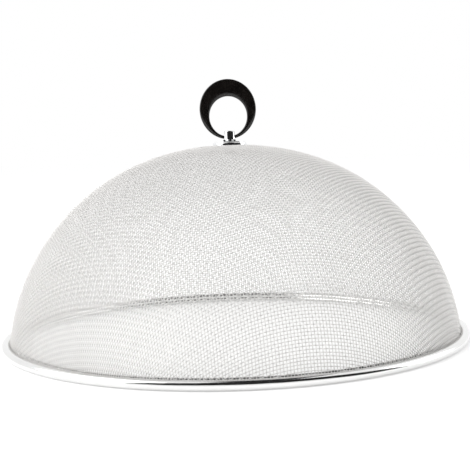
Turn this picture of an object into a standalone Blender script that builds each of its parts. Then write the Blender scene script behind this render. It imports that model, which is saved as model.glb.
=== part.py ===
"""Domed wire-cloth food cover with a rolled steel rim and a ring knob.

The cover stands on its rim on the plane z = 0, with its axis on Z and its front towards -Y.
All lengths are in metres. Run with: blender --background --python part.py
"""
import math

import bmesh
import bpy
import numpy as np
from mathutils import Matrix, Vector

for old in list(bpy.data.objects):
    bpy.data.objects.remove(old, do_unlink=True)

# Overall
COVER_DIAMETER = 0.300          # over the rolled rim
CLOTH_APEX_HEIGHT = 0.1238      # resting plane to the middle of the cloth at the axis
FIT_GAP = 0.0003                # between neighbouring pieces
WELD_DISTANCE = 0.00001         # points closer than this are one point
CUT_OVERRUN = 0.002             # how far a cutter runs past what it cuts
ROUND_STEPS = 60                # facets round the rim
SMALL_ROUND_STEPS = 32          # facets round the knob's pieces

# Dome: (r / base)^fullness + (z / apex)^rise = 1
DOME_FULLNESS_SHARE = 2.128
DOME_RISE_SHARE = 1.830
PROFILE_POINTS = 1200

# Wire cloth
WIRE_PITCH = 0.00181            # of the real weave
WIRES_PER_STRAND = 12           # each strand of this lattice stands for so many wires
STRAND_THICKNESS = 0.0012
WEAVE_AZIMUTH_DEGREES = 15.5    # one set of wires runs down the front this far to the right
CLOTH_SKIRT = 0.060             # straight wall below the dome that the net is trimmed from
HEM_THICKNESS = 0.0016
HEM_HEIGHT = 0.0040
HEM_LAP = 0.0006                # how deep the strands run into the hem
CLOTH_HOLE_DIAMETER = 0.0050

# Rolled rim
STRIP_THICKNESS = 0.0006
BEAD_WIDTH = 0.0056
BEAD_HEIGHT = 0.0056
FLANGE_HEIGHT = 0.0054          # inner side, above the resting plane
FLANGE_BULGE = 0.0007           # how far its two rolls swell inwards
FLANGE_LEAN = 0.0008            # how far its lip stands in from its foot, clear of the cloth
FLANGE_ROLLS = 2
ROLL_POINTS = 3
CURL_START_DEGREES = -90.0
CURL_END_DEGREES = 210.0
CURL_POINTS = 11
CORE_SIDES = 6

# Plates that clamp the cloth
SCREW_DIAMETER = 0.0040
BORE_DIAMETER = 0.0046
BASE_PLATE_DIAMETER = 0.0220
BASE_PLATE_THICKNESS = 0.0008
BASE_PLATE_EDGE = 0.0004        # depth of the rounded top edge
BACKING_PLATE_DIAMETER = 0.0200
BACKING_PLATE_THICKNESS = 0.0008
BACKING_HUB_DIAMETER = 0.0090   # flat ground for the lock washer

# Neck with its fork
NECK_FOOT_DIAMETER = 0.0200
NECK_FOOT_EDGE = 0.0005
NECK_STEM_DIAMETER = 0.0078
NECK_FLARE_HEIGHT = 0.0032
NECK_FLARE_POINTS = 7
FORK_FLOOR_HEIGHT = 0.0018      # above the underside of the foot
PRONG_HEIGHT = 0.0056           # above the fork's floor
PRONG_ROUNDING = 0.0008
SCREW_TIP_WEB = 0.0005          # metal left between the bore and the fork's floor

# Ring
RING_WIDTH = 0.0363
RING_HEIGHT = 0.0384
RING_HOLE_SHARE = 0.667         # size of the hole as a share of the ring's
RING_HOLE_DROP_SHARE = 0.119    # its centre below the ring's, as a share of the ring's height
RING_DEPTH_CROWN = 0.0054
RING_DEPTH_FOOT = 0.0034
RING_LEAN_DEGREES = 1.7         # it leans a little to the left in its fork
RING_EDGE_SHARE = 0.28          # corner radius as a share of the smaller half width
RING_STATIONS = 56
RING_CORNER_POINTS = 3

# Fixings inside
WASHER_DIAMETER = 0.0072
WASHER_HOLE_DIAMETER = 0.0046
WASHER_THICKNESS = 0.0010
WASHER_SPLIT = 0.0008
SCREW_HEAD_DIAMETER = 0.0080
SCREW_HEAD_HEIGHT = 0.0024
SCREW_HEAD_ROUNDING = 0.0009
RECESS_WIDTH = 0.0012
RECESS_SPAN = 0.0044
RECESS_DEPTH = 0.0014

# Places that follow from the sizes
cover_radius = COVER_DIAMETER / 2
bead_inner = cover_radius - BEAD_WIDTH
cloth_radius = bead_inner - FIT_GAP - HEM_THICKNESS / 2
flange_foot = cloth_radius - HEM_THICKNESS / 2 - FIT_GAP - STRIP_THICKNESS / 2
hem_bottom = STRIP_THICKNESS + FIT_GAP
hem_top = hem_bottom + HEM_HEIGHT
trim_height = hem_top - HEM_LAP
cell_pitch = WIRE_PITCH * WIRES_PER_STRAND
cloth_top = CLOTH_APEX_HEIGHT + STRAND_THICKNESS / 2
cloth_bottom = CLOTH_APEX_HEIGHT - STRAND_THICKNESS / 2
base_plate_bottom = cloth_top + FIT_GAP
base_plate_top = base_plate_bottom + BASE_PLATE_THICKNESS
neck_bottom = base_plate_top + FIT_GAP
fork_floor = neck_bottom + FORK_FLOOR_HEIGHT
neck_top = fork_floor + PRONG_HEIGHT
ring_bottom = fork_floor + FIT_GAP
ring_centre = ring_bottom + RING_HEIGHT / 2
screw_tip = fork_floor - SCREW_TIP_WEB - FIT_GAP
backing_plate_top = cloth_bottom - FIT_GAP


def collection(name):
    made = bpy.data.collections.new(name)
    bpy.context.scene.collection.children.link(made)
    return made


cover_parts = collection("food_cover")
cutters = collection("cutters")


def material(name, colour, metallic, roughness):
    made = bpy.data.materials.new(name)
    made.use_nodes = True
    shader = made.node_tree.nodes["Principled BSDF"]
    shader.inputs["Base Color"].default_value = (*colour, 1.0)
    shader.inputs["Metallic"].default_value = metallic
    shader.inputs["Roughness"].default_value = roughness
    return made


cloth_steel = material("woven_steel", (0.66, 0.65, 0.63), 1.0, 0.35)
rim_steel = material("polished_steel", (0.80, 0.80, 0.79), 1.0, 0.12)
chrome = material("chrome", (0.86, 0.87, 0.88), 1.0, 0.06)
black_gloss = material("black_gloss", (0.012, 0.012, 0.013), 0.0, 0.07)
plain_steel = material("plain_steel", (0.58, 0.58, 0.57), 1.0, 0.30)


def new_object(name, mesh, group, surface=None):
    made = bpy.data.objects.new(name, mesh)
    group.objects.link(made)
    if surface is not None:
        made.data.materials.append(surface)
    if group is cutters:
        made.hide_render = True
        made.display_type = "WIRE"
    return made


def smooth_round(item, degrees=40.0):
    item.data.shade_smooth()
    item.data.set_sharp_from_angle(angle=math.radians(degrees))


def profile_mesh(name, outline, closed):
    """Edges through (radius, height) points in the XZ plane."""
    shape = bmesh.new()
    points = [shape.verts.new((radius, 0.0, height)) for radius, height in outline]
    for first, second in zip(points, points[1:]):
        shape.edges.new((first, second))
    if closed:
        shape.edges.new((points[-1], points[0]))
    mesh = bpy.data.meshes.new(name)
    shape.to_mesh(mesh)
    shape.free()
    return mesh


def turned(name, outline, closed, steps, group, surface=None):
    """Profile that runs down its outer side, turned once round Z."""
    item = new_object(name, profile_mesh(name, outline, closed), group, surface)
    turn = item.modifiers.new("turn", "SCREW")
    turn.axis = "Z"
    turn.angle = math.radians(360.0)
    turn.steps = steps
    turn.render_steps = steps
    turn.use_merge_vertices = True
    turn.merge_threshold = WELD_DISTANCE
    turn.use_smooth_shade = True
    return item


def cutter_block(name, size, location, turn_degrees=0.0):
    shape = bmesh.new()
    bmesh.ops.create_cube(shape, size=1.0)
    bmesh.ops.scale(shape, vec=size, verts=shape.verts)
    mesh = bpy.data.meshes.new(name)
    shape.to_mesh(mesh)
    shape.free()
    item = new_object(name, mesh, cutters)
    item.location = location
    item.rotation_euler = (0.0, 0.0, math.radians(turn_degrees))
    return item


def boolean(item, operation, other):
    step = item.modifiers.new(operation.lower(), "BOOLEAN")
    step.operation = operation
    step.solver = "EXACT"
    step.object = other
    return step


def wrapped_grid(name, columns, rows, place, group, surface=None):
    """A grid primitive whose points are laid where place(column, row) says, seams welded."""
    shape = bmesh.new()
    bmesh.ops.create_grid(shape, x_segments=columns, y_segments=rows, size=1.0)
    # a grid of size 1 spans -1 to 1, so each point's own place tells its column and row
    for point in shape.verts:
        column = round((point.co.x + 1.0) / 2.0 * columns)
        row = round((point.co.y + 1.0) / 2.0 * rows)
        point.co = place(column, row)
    bmesh.ops.remove_doubles(shape, verts=shape.verts, dist=WELD_DISTANCE)
    bmesh.ops.recalc_face_normals(shape, faces=shape.faces)
    mesh = bpy.data.meshes.new(name)
    shape.to_mesh(mesh)
    shape.free()
    return new_object(name, mesh, group, surface)


# Dome profile as a table of arc length from the axis, so that a net can be laid on it
def dome_height(radius):
    share = min(radius / cloth_radius, 1.0)
    return CLOTH_APEX_HEIGHT * (1.0 - share ** DOME_FULLNESS_SHARE) ** (1.0 / DOME_RISE_SHARE)


turns = np.linspace(0.0, math.pi / 2, PROFILE_POINTS)
profile_z = CLOTH_APEX_HEIGHT * np.cos(turns) ** (2.0 / DOME_RISE_SHARE)
profile_r = 1.0 - (profile_z / CLOTH_APEX_HEIGHT) ** DOME_RISE_SHARE
profile_r = cloth_radius * np.clip(profile_r, 0.0, 1.0) ** (1.0 / DOME_FULLNESS_SHARE)
profile_r[0] = 0.0
profile_r = np.append(profile_r, cloth_radius)
profile_z = np.append(profile_z, -CLOTH_SKIRT)
profile_s = np.concatenate([[0.0], np.cumsum(np.hypot(np.diff(profile_r), np.diff(profile_z)))])
meridian = float(profile_s[-2])


def on_dome(arc, azimuth):
    radius = np.interp(arc, profile_s, profile_r)
    height = np.interp(arc, profile_s, profile_z)
    return np.array([radius * math.cos(azimuth), radius * math.sin(azimuth), height])


def next_crossing(left, below, guess_arc, guess_azimuth):
    """The point of the dome one pitch from both neighbours, on the far side of the cell."""
    arc = guess_arc
    azimuth = guess_azimuth
    step = cell_pitch / 2000
    for _ in range(20):
        here = on_dome(arc, azimuth)
        miss = np.array([np.linalg.norm(here - left), np.linalg.norm(here - below)]) - cell_pitch
        if abs(miss).max() < step / 100:
            break
        spin = step / max(math.hypot(here[0], here[1]), step)
        down = on_dome(arc + step, azimuth)
        round_ = on_dome(arc, azimuth + spin)
        slope = np.array([
            [np.linalg.norm(down - left), np.linalg.norm(round_ - left)],
            [np.linalg.norm(down - below), np.linalg.norm(round_ - below)],
        ]) - cell_pitch - miss[:, None]
        move = np.linalg.lstsq(slope, -miss, rcond=None)[0]
        move = np.clip(move, -cell_pitch / step / 4, cell_pitch / step / 4)
        arc += move[0] * step
        azimuth += move[1] * spin
    return arc, azimuth


def draped_quarter(count):
    """Wire cloth laid on a quarter of the dome: every strand keeps its pitch and only shears."""
    arcs = np.zeros((count + 1, count + 1))
    azimuths = np.zeros((count + 1, count + 1))
    points = np.zeros((count + 1, count + 1, 3))
    azimuths[0, :] = math.pi / 2
    for step in range(count + 1):
        arcs[step, 0] = arcs[0, step] = step * cell_pitch
        points[step, 0] = on_dome(arcs[step, 0], 0.0)
        points[0, step] = on_dome(arcs[0, step], math.pi / 2)
    for i in range(1, count + 1):
        for j in range(1, count + 1):
            left = points[i - 1, j]
            below = points[i, j - 1]
            ahead = left + below - points[i - 1, j - 1]
            guess = arcs[i - 1, j] + arcs[i, j - 1] - arcs[i - 1, j - 1]
            arcs[i, j], azimuths[i, j] = next_crossing(
                left, below, guess, math.atan2(ahead[1], ahead[0]))
            points[i, j] = on_dome(arcs[i, j], azimuths[i, j])
    return points


# 1 Wire cloth: a square net draped on the dome, given body, trimmed and joined to its hem
strands = math.ceil(meridian / cell_pitch) + 1
quarter = draped_quarter(strands)


def crossing(column, row):
    i = column - strands
    j = row - strands
    x, y, z = quarter[abs(i), abs(j)]
    return Vector((math.copysign(x, i), math.copysign(y, j), z))


cloth = wrapped_grid("wire_cloth_dome", 2 * strands, 2 * strands, crossing, cover_parts, cloth_steel)
trimmed = bmesh.new()
trimmed.from_mesh(cloth.data)
below_hem = [face for face in trimmed.faces if max(p.co.z for p in face.verts) < trim_height]
bmesh.ops.delete(trimmed, geom=below_hem, context="FACES")
weave_turn = Matrix.Rotation(math.radians(WEAVE_AZIMUTH_DEGREES), 3, "Z")
bmesh.ops.transform(trimmed, matrix=weave_turn, verts=trimmed.verts)
trimmed.to_mesh(cloth.data)
trimmed.free()

lattice = cloth.modifiers.new("strands", "WIREFRAME")
lattice.thickness = STRAND_THICKNESS
lattice.use_boundary = True
lattice.use_replace = True
lattice.use_even_offset = True
lattice.offset = 0.0
cloth.modifiers.new("flat_faces", "TRIANGULATE")

keep_outer = cloth_radius + HEM_THICKNESS
keep_top = cloth_top + CUT_OVERRUN
kept_space = turned(
    "space_above_hem",
    [(0.0, keep_top), (keep_outer, keep_top), (keep_outer, trim_height), (0.0, trim_height)],
    False, ROUND_STEPS, cutters)
boolean(cloth, "INTERSECT", kept_space)

hem_outer = cloth_radius + HEM_THICKNESS / 2
hem_inner = cloth_radius - HEM_THICKNESS / 2
hem = turned(
    "folded_hem",
    [(hem_inner, hem_top), (hem_outer, hem_top), (hem_outer, hem_bottom), (hem_inner, hem_bottom)],
    True, ROUND_STEPS, cutters)
boolean(cloth, "UNION", hem)

hole_radius = CLOTH_HOLE_DIAMETER / 2
hole_low = cloth_bottom - CUT_OVERRUN
hole_high = cloth_top + CUT_OVERRUN
cloth_hole = turned(
    "cloth_hole",
    [(0.0, hole_high), (hole_radius, hole_high), (hole_radius, hole_low), (0.0, hole_low)],
    False, SMALL_ROUND_STEPS, cutters)
boolean(cloth, "DIFFERENCE", cloth_hole)

# 2 Rolled rim: one strip, rolled twice down the inside, flat below, curled outwards round the core
half_strip = STRIP_THICKNESS / 2
bead_centre_r = cover_radius - BEAD_WIDTH / 2
bead_centre_z = BEAD_HEIGHT / 2
curl_r = BEAD_WIDTH / 2 - half_strip
curl_z = BEAD_HEIGHT / 2 - half_strip
flange_drop = FLANGE_HEIGHT - STRIP_THICKNESS

flange_steps = FLANGE_ROLLS * ROLL_POINTS
strip_path = []
for step in range(flange_steps + 1):
    share = step / flange_steps
    swell = FLANGE_BULGE * abs(math.sin(math.pi * FLANGE_ROLLS * share))
    lean = FLANGE_LEAN * (1.0 - share)
    strip_path.append((flange_foot - lean - swell, FLANGE_HEIGHT - half_strip - flange_drop * share))
for step in range(CURL_POINTS):
    share = step / (CURL_POINTS - 1)
    angle = math.radians(CURL_START_DEGREES + share * (CURL_END_DEGREES - CURL_START_DEGREES))
    strip_path.append((
        bead_centre_r + curl_r * math.cos(angle),
        bead_centre_z + curl_z * math.sin(angle)))


def strip_outline(path, half):
    """Both faces of a strip along a path, down the outer side and back."""
    outer = []
    inner = []
    for index, (r, z) in enumerate(path):
        before = path[max(index - 1, 0)]
        after = path[min(index + 1, len(path) - 1)]
        first = Vector((r - before[0], z - before[1]))
        second = Vector((after[0] - r, after[1] - z))
        first = first.normalized() if first.length > 0 else second.normalized()
        second = second.normalized() if second.length > 0 else first
        along = (first + second).normalized()
        reach = half / max(along.dot(first), 0.5)
        outer.append((r + along.y * reach, z - along.x * reach))
        inner.append((r - along.y * reach, z + along.x * reach))
    return outer[::-1] + inner


rim = turned("rim_bead", strip_outline(strip_path, half_strip), True, ROUND_STEPS, cover_parts, rim_steel)

# 3 Core wire inside the curl
core_radius = curl_r - half_strip - FIT_GAP
core_outline = []
for step in range(CORE_SIDES):
    angle = -2.0 * math.pi * (step + 0.5) / CORE_SIDES
    core_outline.append((
        bead_centre_r + core_radius * math.cos(angle),
        bead_centre_z + core_radius * math.sin(angle)))
core = turned("rim_core_wire", core_outline, True, ROUND_STEPS, cover_parts, plain_steel)


# 4 Base plate under the knob, dished to the cloth below it
def strand_drop(radius):
    """How far the strands next to the axis lie below the apex at this radius."""
    return (CLOTH_APEX_HEIGHT - dome_height(cell_pitch)) * radius / cell_pitch


bore_radius = BORE_DIAMETER / 2
plate_radius = BASE_PLATE_DIAMETER / 2
base_plate = turned(
    "knob_base_plate",
    [
        (bore_radius, base_plate_top),
        (plate_radius - BASE_PLATE_THICKNESS, base_plate_top),
        (plate_radius - BASE_PLATE_EDGE / 2, base_plate_top - BASE_PLATE_EDGE / 2),
        (plate_radius, base_plate_top - BASE_PLATE_THICKNESS),
        (plate_radius, base_plate_bottom - strand_drop(plate_radius)),
        (bore_radius, base_plate_bottom - strand_drop(bore_radius)),
    ],
    True, SMALL_ROUND_STEPS, cover_parts, chrome)

# 5 Neck: trumpet foot, stem and a fork that takes the bottom of the ring
foot_radius = NECK_FOOT_DIAMETER / 2
stem_radius = NECK_STEM_DIAMETER / 2
neck_outline = [
    (0.0, neck_top),
    (stem_radius - PRONG_ROUNDING, neck_top),
    (stem_radius - PRONG_ROUNDING / 3, neck_top - PRONG_ROUNDING / 3),
    (stem_radius, neck_top - PRONG_ROUNDING),
]
foot_top = neck_bottom + NECK_FOOT_EDGE
for step in range(NECK_FLARE_POINTS):
    angle = step / (NECK_FLARE_POINTS - 1) * math.pi / 2
    neck_outline.append((
        foot_radius - (foot_radius - stem_radius) * math.cos(angle),
        foot_top + NECK_FLARE_HEIGHT * (1.0 - math.sin(angle))))
neck_outline.append((foot_radius, neck_bottom))
neck_outline.append((0.0, neck_bottom))
neck = turned("knob_neck", neck_outline, False, SMALL_ROUND_STEPS, cover_parts, chrome)

bore_end = screw_tip + FIT_GAP
neck_bore = turned(
    "neck_bore",
    [
        (0.0, bore_end),
        (bore_radius, bore_end),
        (bore_radius, neck_bottom - CUT_OVERRUN),
        (0.0, neck_bottom - CUT_OVERRUN),
    ],
    False, SMALL_ROUND_STEPS, cutters)
boolean(neck, "DIFFERENCE", neck_bore)


def ring_depth(height):
    share = (height - ring_bottom) / RING_HEIGHT
    return RING_DEPTH_FOOT + (RING_DEPTH_CROWN - RING_DEPTH_FOOT) * share


slot_width = ring_depth(neck_top) + 2 * FIT_GAP
slot_height = PRONG_HEIGHT + CUT_OVERRUN
fork_slot = cutter_block(
    "fork_slot",
    (NECK_STEM_DIAMETER + CUT_OVERRUN, slot_width, slot_height),
    (0.0, 0.0, fork_floor + slot_height / 2))
boolean(neck, "DIFFERENCE", fork_slot)

# 6 Ring: an off-centre hole leaves it thick at the crown and thin at the fork
ring_hole_centre = ring_centre - RING_HEIGHT * RING_HOLE_DROP_SHARE
corner_steps = RING_CORNER_POINTS - 1
section_points = 4 * RING_CORNER_POINTS


def ring_place(station, place):
    around = 2.0 * math.pi * station / RING_STATIONS
    toward = Vector((math.sin(around) * RING_WIDTH, 0.0, math.cos(around) * RING_HEIGHT)) / 2
    outside = Vector((0.0, 0.0, ring_centre)) + toward
    inside = Vector((0.0, 0.0, ring_hole_centre)) + toward * RING_HOLE_SHARE
    middle = (outside + inside) / 2
    half_width = (outside - inside).length / 2
    half_depth = ring_depth(middle.z) / 2
    across = (outside - inside).normalized()
    edge = RING_EDGE_SHARE * min(half_width, half_depth)
    corner, part = divmod(place % section_points, RING_CORNER_POINTS)
    angle = (corner + part / corner_steps) * math.pi / 2
    side_x = 1.0 if corner in (0, 3) else -1.0
    side_y = 1.0 if corner in (0, 1) else -1.0
    off_x = side_x * (half_width - edge) + edge * math.cos(angle)
    off_y = side_y * (half_depth - edge) + edge * math.sin(angle)
    # the ring is drawn about the foot that it stands on, and leans about it
    foot = Vector((0.0, 0.0, ring_bottom))
    return middle - foot + across * off_x + Vector((0.0, off_y, 0.0))


ring = wrapped_grid("knob_ring", RING_STATIONS, section_points, ring_place, cover_parts, black_gloss)
ring.location = (0.0, 0.0, ring_bottom)
ring.rotation_euler = (0.0, -math.radians(RING_LEAN_DEGREES), 0.0)
smooth_round(ring, 50.0)

# 7 Backing plate on the inside of the cloth
backing_radius = BACKING_PLATE_DIAMETER / 2
hub_radius = BACKING_HUB_DIAMETER / 2
backing_hub_bottom = backing_plate_top - strand_drop(hub_radius) - BACKING_PLATE_THICKNESS
backing_plate = turned(
    "backing_plate",
    [
        (bore_radius, backing_plate_top - strand_drop(bore_radius)),
        (backing_radius, backing_plate_top - strand_drop(backing_radius)),
        (backing_radius, backing_plate_top - strand_drop(backing_radius) - BACKING_PLATE_THICKNESS),
        (hub_radius, backing_hub_bottom),
        (bore_radius, backing_hub_bottom),
    ],
    True, SMALL_ROUND_STEPS, cover_parts, plain_steel)

# 8 Split lock washer
washer_top = backing_hub_bottom - FIT_GAP
washer_bottom = washer_top - WASHER_THICKNESS
washer_radius = WASHER_DIAMETER / 2
washer_hole_radius = WASHER_HOLE_DIAMETER / 2
washer = turned(
    "lock_washer",
    [
        (washer_hole_radius, washer_top),
        (washer_radius, washer_top),
        (washer_radius, washer_bottom),
        (washer_hole_radius, washer_bottom),
    ],
    True, SMALL_ROUND_STEPS, cover_parts, plain_steel)
washer_split = cutter_block(
    "washer_split",
    (washer_radius + CUT_OVERRUN, WASHER_SPLIT, WASHER_THICKNESS + 2 * CUT_OVERRUN),
    ((washer_radius + CUT_OVERRUN) / 2, 0.0, (washer_top + washer_bottom) / 2))
boolean(washer, "DIFFERENCE", washer_split)

# 9 Screw that pulls the knob down, with a cross recess in its pan head
head_top = washer_bottom - FIT_GAP
head_bottom = head_top - SCREW_HEAD_HEIGHT
head_radius = SCREW_HEAD_DIAMETER / 2
shank_radius = SCREW_DIAMETER / 2
screw = turned(
    "knob_screw",
    [
        (0.0, screw_tip),
        (shank_radius, screw_tip),
        (shank_radius, head_top),
        (head_radius, head_top),
        (head_radius, head_bottom + SCREW_HEAD_ROUNDING),
        (head_radius - SCREW_HEAD_ROUNDING / 3, head_bottom + SCREW_HEAD_ROUNDING / 3),
        (head_radius - SCREW_HEAD_ROUNDING, head_bottom),
        (0.0, head_bottom),
    ],
    False, SMALL_ROUND_STEPS, cover_parts, plain_steel)
for name, turn_degrees in (("recess_slot_1", 0.0), ("recess_slot_2", 90.0)):
    recess = cutter_block(
        name, (RECESS_SPAN, RECESS_WIDTH, 2 * RECESS_DEPTH), (0.0, 0.0, head_bottom), turn_degrees)
    boolean(screw, "DIFFERENCE", recess)

print("meridian %.1f mm, %d strands a side, ring top at %.1f mm" % (
    meridian * 1000, strands, (ring_bottom + RING_HEIGHT) * 1000))
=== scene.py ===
# %% [markdown]
# # A wire-cloth food cover with a ring knob
#
# The real object is one sheet of steel wire cloth, pressed into a dome, rolled into a bright
# steel rim, with a black ring on a short chrome neck screwed on top. This lesson dresses the
# imported solids: it weaves every wire of the cloth, turns the rim and the knob finely, and gives
# each metal its own finish. The imported frame is loaded first, because everything is placed by it.

# %% Load the frame
import math

import bmesh
import bpy
import numpy as np
from mathutils import Matrix, Vector


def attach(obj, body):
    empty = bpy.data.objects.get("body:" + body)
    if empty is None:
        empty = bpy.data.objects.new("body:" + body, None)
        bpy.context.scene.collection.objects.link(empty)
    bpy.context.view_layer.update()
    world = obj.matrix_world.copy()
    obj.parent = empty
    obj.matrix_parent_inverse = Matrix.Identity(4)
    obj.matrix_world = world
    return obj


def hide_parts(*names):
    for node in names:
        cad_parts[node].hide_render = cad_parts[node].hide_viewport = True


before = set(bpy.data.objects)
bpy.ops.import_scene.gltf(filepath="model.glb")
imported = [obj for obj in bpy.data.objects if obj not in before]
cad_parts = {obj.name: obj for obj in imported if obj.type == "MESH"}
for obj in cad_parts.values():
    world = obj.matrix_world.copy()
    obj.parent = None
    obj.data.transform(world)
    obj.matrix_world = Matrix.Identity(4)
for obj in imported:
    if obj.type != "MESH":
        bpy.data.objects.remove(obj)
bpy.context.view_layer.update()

scene = bpy.context.scene
print("packed nodes:", sorted(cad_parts))

# %% [markdown]
# ## The camera
#
# The photograph looks along the table, from a little below the top of the dome: the rim is a flat
# ellipse, and the knob's base is seen edge on. The camera stands four rim radii away and leans a
# little, as the one that took the photograph did. A camera's place and its aim are enough to turn
# it with to_track_quat, and the lean is a turn about its own view axis.

# %% Camera
RIM_RADIUS = 0.150
VIEW_DISTANCE = 4.0 * RIM_RADIUS
VIEW_ELEVATION = math.radians(4.84)
VIEW_LEAN = math.radians(1.76)
VIEW_AIM = Vector((0.0108, 0.0, 0.4371)) * RIM_RADIUS
FOCAL_PIXELS = 919.3
FRAME_PIXELS = 470.0
SENSOR_WIDTH_MM = 36.0
NEAREST = 0.05
FARTHEST = 60.0

toward_camera = Vector((0.0, -math.cos(VIEW_ELEVATION), math.sin(VIEW_ELEVATION)))
camera = bpy.data.objects.new("camera", bpy.data.cameras.new("camera"))
scene.collection.objects.link(camera)
camera.location = VIEW_AIM + toward_camera * VIEW_DISTANCE
aim = (-toward_camera).to_track_quat("-Z", "Y").to_matrix()
camera.rotation_euler = (aim @ Matrix.Rotation(-VIEW_LEAN, 3, "Z")).to_euler()
camera.data.sensor_width = SENSOR_WIDTH_MM
camera.data.lens = camera.data.sensor_width * FOCAL_PIXELS / FRAME_PIXELS
camera.data.clip_start = NEAREST
camera.data.clip_end = FARTHEST
scene.camera = camera
print("lens %.1f mm at %.2f m" % (camera.data.lens, VIEW_DISTANCE))

# %% [markdown]
# ## Shader maths in plain Python
#
# A finish is a tree of nodes. Wiring each Math node by hand hides what it works out, so a small
# class wraps a socket and overloads the operators: 1 - mask then adds its own Math node.

# %% Signal
class Signal:
    """A socket that can be used in sums."""

    def __init__(self, finish, socket):
        self.finish = finish
        self.socket = socket

    def math(self, operation, *others):
        values = {0: self}
        for place, other in enumerate(others, 1):
            values[place] = other
        return self.finish.node("ShaderNodeMath", {"operation": operation}, values)[0]

    def __add__(self, other):
        return self.math("ADD", other)

    def __sub__(self, other):
        return self.math("SUBTRACT", other)

    def __mul__(self, other):
        return self.math("MULTIPLY", other)

    def __truediv__(self, other):
        return self.math("DIVIDE", other)

    __radd__ = __add__
    __rmul__ = __mul__

    def __rsub__(self, other):
        return (self * -1.0).math("ADD", other)


# %% [markdown]
# ## One method for every other node
#
# Every node that isn't a sum comes from one method, which takes its type, its settings and the
# values of its sockets. The settings go first, because some of them change which sockets there
# are. What comes back is read by the name or number of an output, ready for more sums.

# %% Finish
class Made:
    """A node whose outputs are read by name or number."""

    def __init__(self, finish, node):
        self.finish = finish
        self.node = node

    def __getitem__(self, name):
        return Signal(self.finish, self.node.outputs[name])


class Finish:
    """A node tree and the means to wire it."""

    def __init__(self, tree):
        self.tree = tree

    def node(self, kind, settings=None, values=None):
        node = self.tree.nodes.new(kind)
        for name, value in (settings or {}).items():
            setattr(node, name, value)
        for name, value in (values or {}).items():
            self.set(node.inputs[name], value)
        return Made(self, node)

    def set(self, socket, value):
        if isinstance(value, Signal):
            self.tree.links.new(value.socket, socket)
        else:
            socket.default_value = value


# %% [markdown]
# ## Metals
#
# The ring, the rim and the wires differ only in a few numbers and in the pattern that breaks them
# up, so one class makes them all. Patterns read Object coordinates, which stay with the piece when
# it moves. A plain colour and roughness stand until a pattern takes their place.

# %% Metal
class Metal(Finish):
    """A Principled material under its own name."""

    def __init__(self, name, colour, metallic, roughness):
        self.material = bpy.data.materials.new(name)
        self.material.use_nodes = True
        super().__init__(self.material.node_tree)
        self.shader = self.tree.nodes["Principled BSDF"]
        self.put("Base Color", (*colour, 1.0))
        self.put("Metallic", metallic)
        self.put("Roughness", roughness)
        self.place = self.node("ShaderNodeTexCoord")["Object"]

    def put(self, name, value):
        self.set(self.shader.inputs[name], value)

    def noise(self, scale, detail=2.0, vector=None):
        values = {"Vector": vector or self.place, "Scale": scale, "Detail": detail}
        return self.node("ShaderNodeTexNoise", None, values)["Fac"]

    def around(self, stretch):
        """Coordinates for marks that run round the Z axis: turn, height and radius."""
        parts = self.node("ShaderNodeSeparateXYZ", None, {0: self.place})
        x = parts[0]
        y = parts[1]
        turn = y.math("ARCTAN2", x)
        radius = (x * x + y * y).math("SQRT")
        values = {0: turn * stretch, 1: parts[2], 2: radius}
        return self.node("ShaderNodeCombineXYZ", None, values)[0]

    def bump(self, height, strength, distance):
        values = {"Height": height, "Strength": strength, "Distance": distance}
        self.put("Normal", self.node("ShaderNodeBump", None, values)["Normal"])

    def vary(self, mask, low, high):
        """A number that runs from low to high as the mask runs from 0 to 1."""
        return mask * (high - low) + low

    def blend(self, mask, first, second):
        """A colour that runs from the first to the second as the mask runs from 0 to 1."""
        values = {0: mask}
        for place, colour in ((6, first), (7, second)):
            values[place] = colour if isinstance(colour, Signal) else (*colour, 1.0)
        return self.node("ShaderNodeMix", {"data_type": "RGBA"}, values)[2]

    def tint(self, mask, first, second):
        self.put("Base Color", self.blend(mask, first, second))


# %% [markdown]
# ## The dome as a table of arc lengths
#
# Cloth is laid on a dome by distance along the surface, not by height. The dome's profile is a
# curve between an ellipse and a box, measured from the photograph, and it flares a little at its
# foot, where the rim's roller has pressed it out. It is tabled by the distance down from the apex,
# so a point is found from that distance and a direction. Below its foot the table runs on straight
# down, so that the net can be laid past the rim before the wires are cut off there.

# %% Dome profile
CLOTH_APEX = 0.1238
CLOTH_RADIUS = 0.1433
FULLNESS = 2.128
RISE = 1.830
FLARE_REACH = 0.0012
FLARE_FADE = 0.008
SKIRT = 0.060
PROFILE_POINTS = 4000

lean = np.linspace(0.0, math.pi / 2, PROFILE_POINTS)
profile_z = CLOTH_APEX * np.cos(lean) ** (2.0 / RISE)
spread = np.clip(1.0 - (profile_z / CLOTH_APEX) ** RISE, 0.0, 1.0)
profile_r = CLOTH_RADIUS * spread ** (1.0 / FULLNESS)
profile_r[0] = 0.0
profile_r += FLARE_REACH * np.exp(-profile_z / FLARE_FADE)
profile_r = np.append(profile_r, profile_r[-1])
profile_z = np.append(profile_z, -SKIRT)
run = np.hypot(np.diff(profile_r), np.diff(profile_z))
profile_s = np.concatenate([[0.0], np.cumsum(run)])
meridian = profile_s[-2]


def on_dome(down, turn):
    """The point at a distance down from the apex, in a direction."""
    radius = np.interp(down, profile_s, profile_r)
    height = np.interp(down, profile_s, profile_z)
    return np.stack([radius * np.cos(turn), radius * np.sin(turn), height], axis=-1)


print("apex to rim along the cloth: %.1f mm" % (meridian * 1000))

# %% [markdown]
# ## Draping the net
#
# Wire cloth can't stretch, but its square cells can shear into diamonds. So each new crossing is
# the point of the dome that lies one pitch from two crossings that are already there. One quarter
# is solved, a diagonal row at a time, by Newton's method, and the other three are its mirror
# images. This is why the weave looks square in one place and like a diamond 45 degrees away.
#
# Newton's method asks how much the two distances miss by, and how that changes with a small nudge
# down the dome and a small nudge round it. Four numbers give both steps at once.

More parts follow.
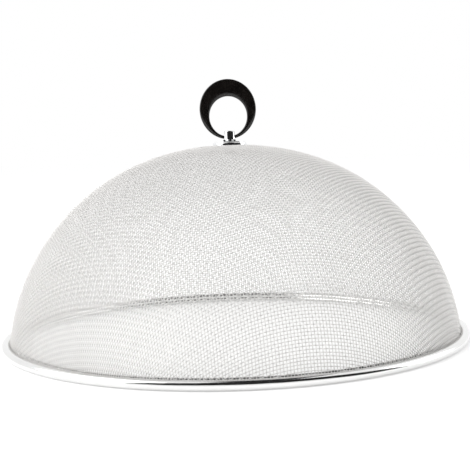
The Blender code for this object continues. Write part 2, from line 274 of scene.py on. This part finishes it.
# %% Drape
WIRE_PITCH = 0.00181
NEWTON_ROUNDS = 12
SMALLEST_AREA = 1e-12
LARGEST_TURN = 0.2

count = math.ceil(meridian / WIRE_PITCH) + 1
depths = np.zeros((count + 1, count + 1))
places = np.zeros((count + 1, count + 1, 3))
steps = np.arange(count + 1) * WIRE_PITCH
depths[:, 0] = steps
depths[0, :] = steps
places[:, 0] = on_dome(steps, 0.0)
places[0, :] = on_dome(steps, math.pi / 2)
NUDGE = WIRE_PITCH / 20000


def miss(down, turn, first, second):
    """How far a point is from being one pitch away from two others."""
    here = on_dome(down, turn)
    reach = [np.linalg.norm(here - other, axis=1) - WIRE_PITCH for other in (first, second)]
    return np.array(reach)


for row in range(2, 2 * count + 1):
    i = np.arange(max(1, row - count), min(count, row - 1) + 1)
    j = row - i
    first = places[i - 1, j]
    second = places[i, j - 1]
    ahead = first + second - places[i - 1, j - 1]
    turn = np.arctan2(ahead[:, 1], ahead[:, 0])
    down = depths[i - 1, j] + depths[i, j - 1] - depths[i - 1, j - 1]
    nudge_turn = NUDGE / np.maximum(np.hypot(ahead[:, 0], ahead[:, 1]), WIRE_PITCH)
    for _ in range(NEWTON_ROUNDS):
        now = miss(down, turn, first, second)
        by_down = (miss(down + NUDGE, turn, first, second) - now) / NUDGE
        by_turn = (miss(down, turn + nudge_turn, first, second) - now) / nudge_turn
        area = by_down[0] * by_turn[1] - by_turn[0] * by_down[1]
        area = np.where(abs(area) < SMALLEST_AREA, SMALLEST_AREA, area)
        step_down = (by_turn[0] * now[1] - by_turn[1] * now[0]) / area
        step_turn = (by_down[1] * now[0] - by_down[0] * now[1]) / area
        down = down + np.clip(step_down, -WIRE_PITCH, WIRE_PITCH)
        turn = turn + np.clip(step_turn, -LARGEST_TURN, LARGEST_TURN)
    depths[i, j] = down
    places[i, j] = on_dome(down, turn)
print("one quarter: %d by %d crossings" % (count + 1, count + 1))

# %% [markdown]
# ## The whole net and its outward direction
#
# The wires step in and out of the cloth, so each crossing needs the dome's outward direction as
# well as its place. It comes from the slope of the profile. The quarter is then mirrored, and the
# whole net is turned to the angle at which this cover's cloth lies in the photograph.

# %% Whole net
WEAVE_TURN = math.radians(15.5)

between_s = (profile_s[1:] + profile_s[:-1]) / 2
slope_r = np.interp(depths, between_s, np.diff(profile_r) / run)
slope_z = np.interp(depths, between_s, np.diff(profile_z) / run)
flat = np.maximum(np.hypot(places[..., 0], places[..., 1]), NUDGE)
outward = np.stack([
    -slope_z * places[..., 0] / flat,
    -slope_z * places[..., 1] / flat,
    slope_r], axis=-1)

signs = np.arange(-count, count + 1)
column, line = np.meshgrid(signs, signs, indexing="ij")
mirror = np.stack([np.sign(column), np.sign(line), np.ones_like(column)], axis=-1)
crossings = places[abs(column), abs(line)] * mirror
normals = outward[abs(column), abs(line)] * mirror
turned_net = np.array(Matrix.Rotation(WEAVE_TURN, 3, "Z")).T
crossings = crossings @ turned_net
normals = normals @ turned_net
print("net of %d by %d crossings" % (2 * count + 1, 2 * count + 1))

# %% [markdown]
# ## The line of one wire
#
# In a plain weave each wire goes over one neighbour and under the next. So each wire is a line
# with one point for each crossing, moved out or in by its crimp, turn about, and the other
# set does the opposite. Here the loom has left all of the wave in the warp, and the weft lies
# straight, so the warp's knuckles stand out of the cloth on both sides. Each wire is followed from
# its middle both ways and cut where it goes down behind the rim.

# %% Wire lines
WIRE_END_HEIGHT = 0.0030


def wire_line(points, outs, side, crimp):
    """The stretch of one wire that lies above the rim: x, y, z and whether the warp is on top."""
    middle = count
    if points[middle, 2] <= WIRE_END_HEIGHT:
        return None
    warp_on_top = side * (-1.0) ** np.arange(len(points))
    woven = points + outs * (warp_on_top * crimp)[:, None]
    woven = np.column_stack([woven, warp_on_top * 0.5 + 0.5])
    halves = []
    for step in (-1, 1):
        half = []
        place = middle
        while 0 <= place + step < len(points) and points[place + step, 2] > WIRE_END_HEIGHT:
            place += step
            half.append(woven[place])
        after = place + step
        if 0 <= after < len(points):
            share = (points[place, 2] - WIRE_END_HEIGHT) / (points[place, 2] - points[after, 2])
            half.append(woven[place] + (woven[after] - woven[place]) * share)
        halves.append(half)
    return halves[0][::-1] + [woven[middle]] + halves[1]


# %% [markdown]
# ## From lines to round wire
#
# A curve object turns a line into round wire with bevel_depth, which is lighter than modelling
# thirty thousand short tubes, and four sides are enough at this size. holes_fill closes the ends,
# which lie behind the rim. An attribute notes at each crossing whether the warp is on top; every
# crossing has as many vertices as the wire has sides, so the values are repeated that many times.

# %% Wire meshes
WIRE_RADIUS = 0.00022
WIRE_SIDES = 4


def stands_for(item, slot, *nodes):
    """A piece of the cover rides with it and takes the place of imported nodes."""
    scene.collection.objects.link(item)
    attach(item, "root")
    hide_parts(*nodes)
    return item


def finished_mesh(item):
    """The mesh of an object with its curve settings or modifiers worked out."""
    worked_out = item.evaluated_get(bpy.context.evaluated_depsgraph_get())
    return bpy.data.meshes.new_from_object(worked_out)


def wire_set(name, lines):
    """One mesh of round wires along the given lines."""
    curve = bpy.data.curves.new(name, "CURVE")
    curve.dimensions = "3D"
    curve.bevel_depth = WIRE_RADIUS
    curve.bevel_resolution = 0
    for line in lines:
        spline = curve.splines.new("POLY")
        spline.points.add(len(line) - 1)
        packed = np.column_stack([np.array(line)[:, :3], np.ones(len(line))])
        spline.points.foreach_set("co", packed.ravel())
        spline.use_smooth = True
    drawn = bpy.data.objects.new(name + "_lines", curve)
    scene.collection.objects.link(drawn)
    mesh = finished_mesh(drawn)
    bpy.data.objects.remove(drawn)
    shape = bmesh.new()
    shape.from_mesh(mesh)
    bmesh.ops.holes_fill(shape, edges=shape.edges, sides=WIRE_SIDES)
    bmesh.ops.recalc_face_normals(shape, faces=shape.faces)
    shape.to_mesh(mesh)
    shape.free()
    on_top = np.concatenate([np.array(line)[:, 3] for line in lines])
    mark = mesh.attributes.new("warp_on_top", "FLOAT", "POINT")
    mark.data.foreach_set("value", np.repeat(on_top, WIRE_SIDES))
    return stands_for(bpy.data.objects.new(name, mesh), "woven_steel", "wire_cloth_dome")


# %% [markdown]
# ## Warp and weft
#
# Each column of the net is a warp wire and each row a weft wire. Neighbours start on opposite
# sides, so the sign changes with the wire's number. The two sets are split into halves, which
# keeps each mesh light.

# %% Warp and weft
WARP_CRIMP = 0.00040
WEFT_CRIMP = 0.0

warp = []
weft = []
for index in range(2 * count + 1):
    side = (-1.0) ** index
    warp.append(wire_line(crossings[:, index], normals[:, index], side, WARP_CRIMP))
    weft.append(wire_line(crossings[index], normals[index], side, -WEFT_CRIMP))
wires = [
    wire_set("warp_wires_left", [line for line in warp[:count] if line]),
    wire_set("warp_wires_right", [line for line in warp[count:] if line]),
    wire_set("weft_wires_left", [line for line in weft[:count] if line]),
    wire_set("weft_wires_right", [line for line in weft[count:] if line]),
]
for item in wires:
    print(item.name, len(item.data.polygons), "faces", len(item.data.vertices), "vertices")


# %% [markdown]
# ## Steel for the cloth
#
# The wires are bare stainless steel with a soft shine. Seen from this far away no single wire can
# be made out by its gloss, so what counts is their tone. Where the warp is on top its knuckles
# stand proud and are painted lighter, a painted highlight; where the weft is on top it lies lower
# and is painted darker, a painted shade. That makes the fine slanting checks. The painted
# highlight and shade grow stronger towards the top of the dome. The drawn skin scatters light as
# well as mirroring it, so it is only partly metallic.

# %% Woven steel
# painted shade for the knuckles where the weft is on top, painted highlight where the warp is, at
# the foot and the top
KNUCKLE_SHADE_LOW = (0.66, 0.651, 0.640)
KNUCKLE_SHADE_HIGH = (0.50, 0.494, 0.486)
KNUCKLE_HIGHLIGHT_LOW = (0.79, 0.778, 0.764)
KNUCKLE_HIGHLIGHT_HIGH = (0.98, 0.967, 0.952)
KNUCKLE_SHARE = 0.92

woven_steel = Metal("woven_steel", KNUCKLE_HIGHLIGHT_LOW, 0.2, 0.4)
height = woven_steel.node("ShaderNodeSeparateXYZ", None, {0: woven_steel.place})[2] / CLOTH_APEX
# the painted shade and the painted highlight grow stronger towards the top of the dome
knuckle_shade = woven_steel.blend(height, KNUCKLE_SHADE_LOW, KNUCKLE_SHADE_HIGH)
bright = woven_steel.blend(height, KNUCKLE_HIGHLIGHT_LOW, KNUCKLE_HIGHLIGHT_HIGH)
rubbed = woven_steel.noise(38.0, 3.0)
on_top = woven_steel.node("ShaderNodeAttribute", {"attribute_name": "warp_on_top"})["Fac"]
# the warp's knuckles get the painted highlight and the weft's the painted shade, broken up a little
# by noise
woven_steel.tint(on_top * KNUCKLE_SHARE + rubbed * (1.0 - KNUCKLE_SHARE), knuckle_shade, bright)
woven_steel.put("Roughness", woven_steel.vary(rubbed, 0.36, 0.46))
for item in wires:
    item.data.materials.append(woven_steel.material)

# %% [markdown]
# ## Turning round pieces
#
# The rim, the neck, the plates and the screw are all turned shapes. Each starts as a few points
# joined by edges, half a section of the piece, and bmesh's spin carries them once round the Z
# axis. A full spin needs use_merge, or its first and last rows stay two, and the points on the
# axis are welded afterwards.

# %% Turned pieces
WELD = 0.000005
SMOOTH_UP_TO = math.radians(35.0)


def arc(centre, radii, start, end, steps):
    """Points along part of an ellipse in the section, angles in degrees from +r towards +z."""
    points = []
    for step in range(steps + 1):
        angle = math.radians(start + (end - start) * step / steps)
        points.append((
            centre[0] + radii[0] * math.cos(angle),
            centre[1] + radii[1] * math.sin(angle)))
    return points


def section_edges(shape, points, closed):
    """The corners and edges of a section in the XZ plane."""
    corners = [shape.verts.new((r, 0.0, z)) for r, z in points]
    edges = [shape.edges.new(pair) for pair in zip(corners, corners[1:])]
    if closed:
        edges.append(shape.edges.new((corners[-1], corners[0])))
    return corners + edges


def turned(name, points, steps, closed=False):
    """A section turned once round the Z axis."""
    shape = bmesh.new()
    bmesh.ops.spin(
        shape, geom=section_edges(shape, points, closed), cent=(0, 0, 0), axis=(0, 0, 1),
        angle=2 * math.pi, steps=steps, use_merge=True)
    bmesh.ops.remove_doubles(shape, verts=shape.verts, dist=WELD)
    bmesh.ops.recalc_face_normals(shape, faces=shape.faces)
    mesh = bpy.data.meshes.new(name)
    shape.to_mesh(mesh)
    shape.free()
    return bpy.data.objects.new(name, mesh)


def soften(item):
    """Smooth shading, but for edges that turn sharply."""
    item.data.shade_smooth()
    item.data.set_sharp_from_angle(angle=SMOOTH_UP_TO)
    return item


# %% [markdown]
# ## The rolled rim
#
# The rim is one strip of thin bright steel: up the inside of the cloth, flat underneath, then
# curled outwards into a bead. Two shallow swells stiffen the part inside the cloth, and show
# through it as bands of light. A solid ring would look the same from the front, but from below and
# through the cloth the strip's edge and its hollow show, so the strip's middle line is turned and
# a Solidify modifier gives it its thickness.

# %% Rim
STRIP = 0.0006
BEAD_MIDDLE = (0.1469, 0.0028)
BEAD_REACH = (0.0028, 0.0025)
FLANGE_FOOT = 0.1419
FLANGE_LEAN = 0.0008
FLANGE_BULGE = 0.0007
FLANGE_TOP = 0.0051
FLANGE_ROLLS = 2
FLANGE_STEPS = 28
CURL_START = -90.0
CURL_END = 210.0
CURL_STEPS = 48
RIM_STEPS = 256

strip_line = []
for step in range(FLANGE_STEPS + 1):
    share = step / FLANGE_STEPS
    swell = FLANGE_BULGE * abs(math.sin(math.pi * FLANGE_ROLLS * share))
    radius = FLANGE_FOOT - FLANGE_LEAN * (1.0 - share) - swell
    strip_line.append((radius, FLANGE_TOP + (STRIP / 2 - FLANGE_TOP) * share))
strip_line += arc(BEAD_MIDDLE, BEAD_REACH, CURL_START, CURL_END, CURL_STEPS)
rim = stands_for(turned("rolled_rim", strip_line, RIM_STEPS), "polished_steel", "rim_bead")
# an open strip has no inside, so the side that faces out is chosen here
rim.data.flip_normals()
wall = rim.modifiers.new("strip", "SOLIDIFY")
wall.thickness = STRIP
wall.offset = 0.0
soften(rim)
print("rim faces:", len(rim.data.polygons))

# %% [markdown]
# ## Polished steel for the rim
#
# A spun rim is polished while it turns, so its fine scratches run round and round. The noise is
# read in turned coordinates, angle, height and radius, and squeezed so that one grain is long
# round the rim and thin across it. A linear noise would cross the rim at every angle but two.

# %% Polished steel
SCRATCH_STRETCH = 0.004
SCRATCH_DEPTH = 0.0002

polished_steel = Metal("polished_steel", (0.93, 0.93, 0.925), 1.0, 0.12)
lines = polished_steel.noise(1400.0, 2.0, polished_steel.around(SCRATCH_STRETCH))
cloudy = polished_steel.noise(60.0, 2.0)
polished_steel.tint(cloudy, (0.81, 0.81, 0.804), (0.88, 0.88, 0.873))
polished_steel.put("Roughness", polished_steel.vary(lines * 0.6 + cloudy * 0.4, 0.06, 0.20))
polished_steel.bump(lines, 0.12, SCRATCH_DEPTH)
rim.data.materials.append(polished_steel.material)

# %% [markdown]
# ## The ring
#
# The ring is a disc with a hole below its middle, so it is broad at the crown and thin at the
# foot. Two circles bridged together give that face, and extruding it gives the thickness. Each
# point is then brought towards the middle plane by its height, because the ring also thins from
# front to back towards its foot. A bevel softens the edges, and at last the ring is leaned.

# %% Ring
RING_WIDTH = 0.0363
RING_HEIGHT = 0.0384
RING_FOOT = 0.1279
RING_HOLE_SHARE = 0.667
RING_HOLE_DROP = 0.00457
RING_CROWN_DEPTH = 0.0054
RING_FOOT_DEPTH = 0.0034
RING_EDGE = 0.0015
RING_LEAN = math.radians(1.7)
RING_SEGMENTS = 96
BEVEL_STEPS = 6
CORNER = math.radians(60.0)

shape = bmesh.new()
upright = Matrix.Rotation(math.radians(90.0), 4, "X")
for share, drop in ((1.0, 0.0), (RING_HOLE_SHARE, RING_HOLE_DROP)):
    size = Matrix.Diagonal((share * RING_WIDTH / 2, 1.0, share * RING_HEIGHT / 2, 1.0))
    place = Matrix.Translation((0.0, 0.5, RING_HEIGHT / 2 - drop)) @ (size @ upright)
    bmesh.ops.create_circle(
        shape, cap_ends=False, segments=RING_SEGMENTS, radius=1.0, matrix=place)
front = bmesh.ops.bridge_loops(shape, edges=shape.edges[:])["faces"]
back = bmesh.ops.extrude_face_region(shape, geom=front)["geom"]
moved = [part for part in back if isinstance(part, bmesh.types.BMVert)]
bmesh.ops.translate(shape, vec=(0.0, -1.0, 0.0), verts=moved)
for point in shape.verts:
    share = point.co.z / RING_HEIGHT
    point.co.y *= RING_FOOT_DEPTH + (RING_CROWN_DEPTH - RING_FOOT_DEPTH) * share
bmesh.ops.recalc_face_normals(shape, faces=shape.faces)
corners = [edge for edge in shape.edges if edge.calc_face_angle(0.0) > CORNER]
bmesh.ops.bevel(
    shape, geom=corners, offset=RING_EDGE, offset_type="OFFSET", affect="EDGES",
    segments=BEVEL_STEPS, profile=0.5, material=-1, clamp_overlap=True)
leaning = Matrix.Translation((0.0, 0.0, RING_FOOT)) @ Matrix.Rotation(-RING_LEAN, 4, "Y")
bmesh.ops.transform(shape, matrix=leaning, verts=shape.verts)
mesh = bpy.data.meshes.new("finger_ring")
shape.to_mesh(mesh)
shape.free()
ring = soften(stands_for(bpy.data.objects.new("finger_ring", mesh), "black_gloss", "knob_ring"))
print("ring faces:", len(ring.data.polygons))

# %% [markdown]
# ## Black gloss
#
# The ring is black nickel or lacquer over metal, and smooth enough to mirror. Black paint shows
# almost nothing but what it mirrors, so its own colour is near zero, and finger smudges are a
# change of roughness more than of colour.

# %% Black gloss
black_gloss = Metal("black_gloss", (0.004, 0.004, 0.004), 0.0, 0.06)
smudge = black_gloss.noise(220.0, 3.0)
black_gloss.tint(smudge, (0.001, 0.001, 0.001), (0.010, 0.008, 0.007))
black_gloss.put("Roughness", black_gloss.vary(smudge, 0.03, 0.14))
ring.data.materials.append(black_gloss.material)

# %% [markdown]
# ## The neck
#
# The neck is a little trumpet: a flat foot, a fillet and a stem. It is turned from one section,
# as it would be on a lathe, from the middle of its top down to the middle of its foot.

# %% Neck
NECK_FOOT = 0.1258
FORK_FLOOR = 0.1276
PRONG_TOP = 0.1332
STEM_RADIUS = 0.0039
FOOT_RADIUS = 0.0100
FLARE = 0.0016
FOOT_EDGE = 0.0005
PRONG_ROUND = 0.0008
KNOB_STEPS = 96

neck_line = [(0.0, PRONG_TOP)]
neck_line += arc(
    (STEM_RADIUS - PRONG_ROUND, PRONG_TOP - PRONG_ROUND), (PRONG_ROUND, PRONG_ROUND), 90, 0, 5)
neck_line += arc(
    (FOOT_RADIUS, NECK_FOOT + FOOT_EDGE + FLARE), (FOOT_RADIUS - STEM_RADIUS, FLARE), 180, 270, 16)
neck_line += [(FOOT_RADIUS, NECK_FOOT), (0.0, NECK_FOOT)]
neck = stands_for(turned("ring_neck", neck_line, KNOB_STEPS), "chrome", "knob_neck")
print("neck height: %.1f mm" % ((PRONG_TOP - NECK_FOOT) * 1000))

# %% [markdown]
# ## The slot for the ring
#
# The ring's foot stands in a slot across the top of the neck, which a saw or a milling cutter
# would make. Here a Boolean cuts it out of the turned shape, and a small Bevel takes the sharpness
# off what the cut leaves. The worked-out mesh is kept, so the block that cut it can go.

# %% Slot
SLOT_SIZE = Vector((0.012, 0.00425, 0.008))
SLOT_EDGE = 0.0002
SLOT_CORNER = math.radians(50.0)

slot_shape = bmesh.new()
bmesh.ops.create_cube(slot_shape, size=1.0)
bmesh.ops.scale(slot_shape, vec=SLOT_SIZE, verts=slot_shape.verts)
bmesh.ops.translate(
    slot_shape, vec=(0.0, 0.0, FORK_FLOOR + SLOT_SIZE.z / 2), verts=slot_shape.verts)
slot_mesh = bpy.data.meshes.new("fork_slot")
slot_shape.to_mesh(slot_mesh)
slot_shape.free()
fork_slot = bpy.data.objects.new("fork_slot", slot_mesh)
scene.collection.objects.link(fork_slot)
cut = neck.modifiers.new("slot", "BOOLEAN")
cut.object = fork_slot
cut.solver = "EXACT"
edge = neck.modifiers.new("edge", "BEVEL")
edge.width = SLOT_EDGE
edge.segments = 2
edge.limit_method = "ANGLE"
edge.angle_limit = SLOT_CORNER
finished = finished_mesh(neck)
neck.modifiers.clear()
neck.data = finished
bpy.data.objects.remove(fork_slot)
soften(neck)
print("neck faces:", len(neck.data.polygons))

# %% [markdown]
# ## Base plate
#
# A thin round plate spreads the pull of the knob over the cloth. Its underside is dished to lie on
# the dome, so the section is a ring with a slanting bottom, closed and turned. The screw comes up
# through the hole in its middle.

# %% Base plate
CLOTH_TOP = CLOTH_APEX + 2 * WIRE_RADIUS
BASE_TOP = 0.1255
BASE_RADIUS = 0.0110
BASE_HOLE = 0.0023
BASE_ROUND = (0.0004, 0.0005)
BASE_DISH = 0.0003

plate_line = [(BASE_HOLE, BASE_TOP), (BASE_RADIUS - 2 * BASE_ROUND[0], BASE_TOP)]
plate_line += arc(
    (BASE_RADIUS - BASE_ROUND[0], BASE_TOP - BASE_ROUND[1]), BASE_ROUND, 90, 0, 4)
plate_line += [(BASE_RADIUS, CLOTH_TOP - BASE_DISH), (BASE_HOLE, CLOTH_TOP)]
base_plate = turned("base_plate", plate_line, KNOB_STEPS, closed=True)
soften(stands_for(base_plate, "chrome", "knob_base_plate"))
print("base plate faces:", len(base_plate.data.polygons))

# %% [markdown]
# ## Chrome
#
# Neck and plate are bright chrome: fully metallic, nearly white and nearly smooth. The noise only
# lays a faint haze on it, because a perfect mirror looks computed.

# %% Chrome
chrome = Metal("bright_chrome", (0.86, 0.865, 0.87), 1.0, 0.05)
haze = chrome.noise(160.0, 2.0)
chrome.tint(haze, (0.83, 0.835, 0.84), (0.90, 0.905, 0.91))
chrome.put("Roughness", chrome.vary(haze, 0.03, 0.10))
for item in (neck, base_plate):
    item.data.materials.append(chrome.material)

# %% [markdown]
# ## Plain steel inside
#
# The core wire, the backing plate, the washer and the screw are plain steel. They keep their
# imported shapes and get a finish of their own.

# %% Plain steel
DRAWN_STRETCH = 0.01

plain_steel = Metal("plain_steel", (0.56, 0.56, 0.55), 1.0, 0.32)
grain = plain_steel.noise(900.0, 2.0, plain_steel.around(DRAWN_STRETCH))
patch = plain_steel.noise(120.0, 2.0)
plain_steel.tint(patch, (0.50, 0.50, 0.49), (0.62, 0.62, 0.61))
plain_steel.put("Roughness", plain_steel.vary(grain, 0.24, 0.42))
for node in ("rim_core_wire", "backing_plate", "lock_washer", "knob_screw"):
    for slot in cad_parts[node].material_slots:
        slot.material = plain_steel.material

# %% [markdown]
# ## Panels for the studio
#
# Floor, card and flag are all flat panels made from an outline, linked to the scene but not
# attached to the cover. Their materials need plain shaders and the kind of ray that looks at them.

# %% Stage panels
def stage_panel(name, outline, material):
    """A flat panel inside an outline, linked to the scene but not attached to the cover."""
    shape = bmesh.new()
    shape.faces.new([shape.verts.new(corner) for corner in outline])
    mesh = bpy.data.meshes.new(name)
    shape.to_mesh(mesh)
    shape.free()
    mesh.materials.append(material)
    item = bpy.data.objects.new(name, mesh)
    scene.collection.objects.link(item)


class Surface(Finish):
    """A stage material made of plain shaders."""

    def __init__(self, name):
        self.material = bpy.data.materials.new(name)
        self.material.use_nodes = True
        super().__init__(self.material.node_tree)
        self.tree.nodes.remove(self.tree.nodes["Principled BSDF"])
        self.output = self.tree.nodes["Material Output"]
        self.rays = self.node("ShaderNodeLightPath")

    def show(self, shader):
        self.set(self.output.inputs["Surface"], shader)


# %% [markdown]
# ## The floor
#
# The cover stands on a wide pale table that keeps its shadow. The table also glows a little to the
# camera and in mirrors, so that it comes out white, but it sheds no light of its own on the cover.

# %% Floor
FLOOR_REACH = 20.0
FLOOR_LIFT = 0.22
FLOOR_GREY = (0.78, 0.78, 0.78, 1.0)
FLOOR_CORNERS = ((-1, -1), (1, -1), (1, 1), (-1, 1))

floor_paint = Surface("pale_floor")
seen = floor_paint.rays["Is Camera Ray"].math("MAXIMUM", floor_paint.rays["Is Glossy Ray"])
seen = seen.math("MAXIMUM", floor_paint.rays["Is Transmission Ray"])
matt = floor_paint.node("ShaderNodeBsdfDiffuse", None, {"Color": FLOOR_GREY})[0]
lift = floor_paint.node("ShaderNodeEmission", None, {"Strength": seen * FLOOR_LIFT})[0]
floor_paint.show(floor_paint.node("ShaderNodeAddShader", None, {0: matt, 1: lift})[0])
floor_outline = [(x * FLOOR_REACH, y * FLOOR_REACH, 0.0) for x, y in FLOOR_CORNERS]
stage_panel("floor", floor_outline, floor_paint.material)
print("floor lift:", FLOOR_LIFT)

# %% [markdown]
# ## The dark side of the studio
#
# Bright metal shows the room, not itself. A dark card stands in front of the cover and a dark flag
# hangs overhead: they draw the thin black line along the front of the rim and the dark leaf on the
# neck, and keep the ring black. They are seen in reflections only, so they never stand in a view.

# %% Dark card and flag
CARD_GREY = (0.02, 0.02, 0.02, 1.0)
CARD_Y = -0.42
CARD_OUTLINE = (
    (-0.44, 0.12), (0.30, 0.125), (0.43, 0.07), (2.20, 0.07), (2.20, 1.20), (0.81, 1.50),
    (-0.26, 1.50), (-0.44, 0.80))
FLAG_OUTLINE = (
    (-0.26, -0.42), (0.50, -0.42), (0.56, 0.70), (-0.30, 1.20), (-0.06, -0.10), (-0.26, -0.30))
FLAG_Z = 1.50

card_paint = Surface("dark_card")
clear = card_paint.node("ShaderNodeBsdfTransparent")[0]
dark = card_paint.node("ShaderNodeBsdfDiffuse", None, {"Color": CARD_GREY})[0]
mirrored = card_paint.rays["Is Glossy Ray"]
card_paint.show(card_paint.node("ShaderNodeMixShader", None, {0: mirrored, 1: clear, 2: dark})[0])
stage_panel("dark_card", [(x, CARD_Y, z) for x, z in CARD_OUTLINE], card_paint.material)
stage_panel("dark_flag", [(x, y, FLAG_Z) for x, y in FLAG_OUTLINE], card_paint.material)
print("card at y = %.2f m, flag at z = %.2f m" % (CARD_Y, FLAG_Z))

# %% [markdown]
# ## Light
#
# The room is white all round, which gives a plain soft light and a white background. Two round
# windows, one on each side, lift the edges of the dome a little, the left one more than the right.

# %% Light
ROOM_WHITE = (1.0, 1.0, 1.0, 1.0)
ROOM_STRENGTH = 1.0
LIT_POINT = Vector((0.0, 0.0, 0.06))
LEFT_PLACE = (-2.0, -0.5, 1.4)
LEFT_SIZE = 3.0
LEFT_ENERGY = 46.0
RIGHT_PLACE = (2.2, 0.4, 1.0)
RIGHT_SIZE = 2.0
RIGHT_ENERGY = 12.0

world = bpy.data.worlds.new("white_room")
world.use_nodes = True
scene.world = world
room = world.node_tree.nodes["Background"]
room.inputs["Color"].default_value = ROOM_WHITE
room.inputs["Strength"].default_value = ROOM_STRENGTH


def window(name, place, size, energy):
    """A round soft light aimed at the middle of the cover."""
    lamp = bpy.data.objects.new(name, bpy.data.lights.new(name, "AREA"))
    lamp.data.shape = "DISK"
    lamp.data.size = size
    lamp.data.energy = energy
    lamp.location = place
    lamp.rotation_euler = (LIT_POINT - lamp.location).to_track_quat("-Z", "Y").to_euler()
    scene.collection.objects.link(lamp)


window("left_window", LEFT_PLACE, LEFT_SIZE, LEFT_ENERGY)
window("right_window", RIGHT_PLACE, RIGHT_SIZE, RIGHT_ENERGY)
print("room strength:", ROOM_STRENGTH)

# %% [markdown]
# ## View settings
#
# The Standard view shows tones as they were set.

# %% View settings
scene.view_settings.view_transform = "Standard"
